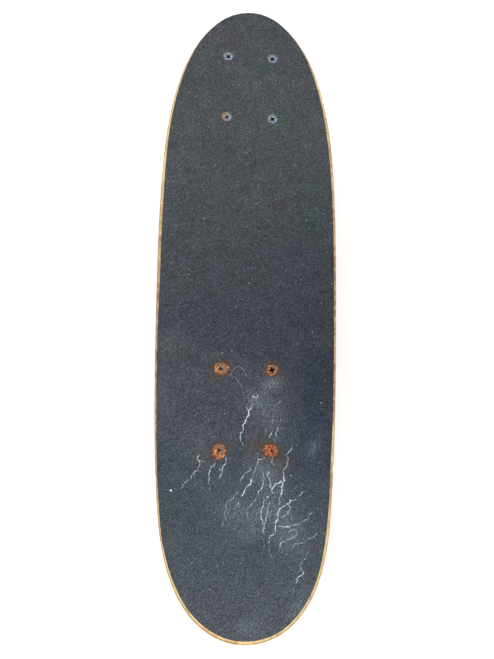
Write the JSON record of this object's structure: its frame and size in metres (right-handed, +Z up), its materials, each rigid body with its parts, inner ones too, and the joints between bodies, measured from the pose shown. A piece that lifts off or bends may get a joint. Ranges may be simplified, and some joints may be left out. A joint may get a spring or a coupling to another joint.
{
  "type": "skateboard",
  "caption": "Short wooden cruiser skateboard with a kicked tail, worn grip tape, countersunk deck bolts and cast trucks that lean on bushings and carry free-rolling wheels.",
  "frame": {"origin": "on the ground under the middle of the board's overall box, with the wheels standing on Z = 0", "axes": "+Y along the board towards the nose, +X to the right of a rider who faces the nose, +Z up"},
  "size_m": [0.1528, 0.5334, 0.1254],
  "materials": {
    "maple": "clear-sealed maple plies, worn at the edge",
    "grit": "worn black silicon carbide grit on a film",
    "riser_plastic": "moulded",
    "cast_aluminium": "tumbled casting",
    "cup_urethane": "moulded",
    "kingpin_steel": "zinc plated, dulled",
    "washer_steel": "zinc plated, dulled",
    "bushing_urethane": "cast, amber",
    "nut_steel": "zinc plated with a nylon ring",
    "axle_steel": "ground, threaded ends",
    "wheel_urethane": "cast, scuffed",
    "bearing_steel": "polished races with dark shields",
    "spacer_steel": "turned",
    "zinc_bolt": "bluish zinc with rust at the rim",
    "rusted_bolt": "rusted"
  },
  "bodies": {
    "board": {"deck": "maple", "griptape": "grit", "front_riser_pad": "riser_plastic", "front_baseplate": "cast_aluminium", "front_pivot_cup": "cup_urethane", "front_kingpin": "kingpin_steel", "front_upper_washer": "washer_steel", "front_upper_bushing": "bushing_urethane", "front_lower_bushing": "bushing_urethane", "front_lower_washer": "washer_steel", "front_kingpin_nut": "nut_steel", "front_left_inner_bolt": "zinc_bolt", "front_left_inner_nut": "nut_steel", "front_left_outer_bolt": "zinc_bolt", "front_left_outer_nut": "nut_steel", "front_right_inner_bolt": "zinc_bolt", "front_right_inner_nut": "nut_steel", "front_right_outer_bolt": "zinc_bolt", "front_right_outer_nut": "nut_steel", "rear_riser_pad": "riser_plastic", "rear_baseplate": "cast_aluminium", "rear_pivot_cup": "cup_urethane", "rear_kingpin": "kingpin_steel", "rear_upper_washer": "washer_steel", "rear_upper_bushing": "bushing_urethane", "rear_lower_bushing": "bushing_urethane", "rear_lower_washer": "washer_steel", "rear_kingpin_nut": "nut_steel", "rear_left_inner_bolt": "rusted_bolt", "rear_left_inner_nut": "nut_steel", "rear_left_outer_bolt": "rusted_bolt", "rear_left_outer_nut": "nut_steel", "rear_right_inner_bolt": "rusted_bolt", "rear_right_inner_nut": "nut_steel", "rear_right_outer_bolt": "rusted_bolt", "rear_right_outer_nut": "nut_steel"},
    "front_hanger_body": {"front_hanger": "cast_aluminium", "front_axle": "axle_steel", "front_left_spacer": "spacer_steel", "front_left_axle_nut": "nut_steel", "front_right_spacer": "spacer_steel", "front_right_axle_nut": "nut_steel"},
    "rear_hanger_body": {"rear_hanger": "cast_aluminium", "rear_axle": "axle_steel", "rear_left_spacer": "spacer_steel", "rear_left_axle_nut": "nut_steel", "rear_right_spacer": "spacer_steel", "rear_right_axle_nut": "nut_steel"},
    "front_left_wheel_body": {"front_left_wheel": "wheel_urethane", "front_left_inner_bearing": "bearing_steel", "front_left_outer_bearing": "bearing_steel"},
    "front_right_wheel_body": {"front_right_wheel": "wheel_urethane", "front_right_inner_bearing": "bearing_steel", "front_right_outer_bearing": "bearing_steel"},
    "rear_left_wheel_body": {"rear_left_wheel": "wheel_urethane", "rear_left_inner_bearing": "bearing_steel", "rear_left_outer_bearing": "bearing_steel"},
    "rear_right_wheel_body": {"rear_right_wheel": "wheel_urethane", "rear_right_inner_bearing": "bearing_steel", "rear_right_outer_bearing": "bearing_steel"}
  },
  "joints": [
    {"name": "front_truck_steer", "type": "hinge", "parent": "board", "child": "front_hanger_body", "pos_m": [0, 0.17123, 0.04837], "axis": [0, 0.9246, 0.381], "range_deg": [-12, 12], "stiffness_Nm_per_rad": 40, "deforming": ["front_upper_bushing", "front_lower_bushing"]},
    {"name": "rear_truck_steer", "type": "hinge", "parent": "board", "child": "rear_hanger_body", "pos_m": [0, -0.09647, 0.04837], "axis": [0, 0.9246, -0.381], "range_deg": [-12, 12], "stiffness_Nm_per_rad": 40, "deforming": ["rear_upper_bushing", "rear_lower_bushing"]},
    {"name": "front_left_wheel_spin", "type": "hinge", "parent": "front_hanger_body", "child": "front_left_wheel_body", "pos_m": [-0.051, 0.19138, 0.029], "axis": [1, 0, 0], "continuous": true},
    {"name": "front_right_wheel_spin", "type": "hinge", "parent": "front_hanger_body", "child": "front_right_wheel_body", "pos_m": [0.051, 0.19138, 0.029], "axis": [1, 0, 0], "continuous": true},
    {"name": "rear_left_wheel_spin", "type": "hinge", "parent": "rear_hanger_body", "child": "rear_left_wheel_body", "pos_m": [-0.051, -0.11662, 0.029], "axis": [1, 0, 0], "continuous": true},
    {"name": "rear_right_wheel_spin", "type": "hinge", "parent": "rear_hanger_body", "child": "rear_right_wheel_body", "pos_m": [0.051, -0.11662, 0.029], "axis": [1, 0, 0], "continuous": true}
  ]
}
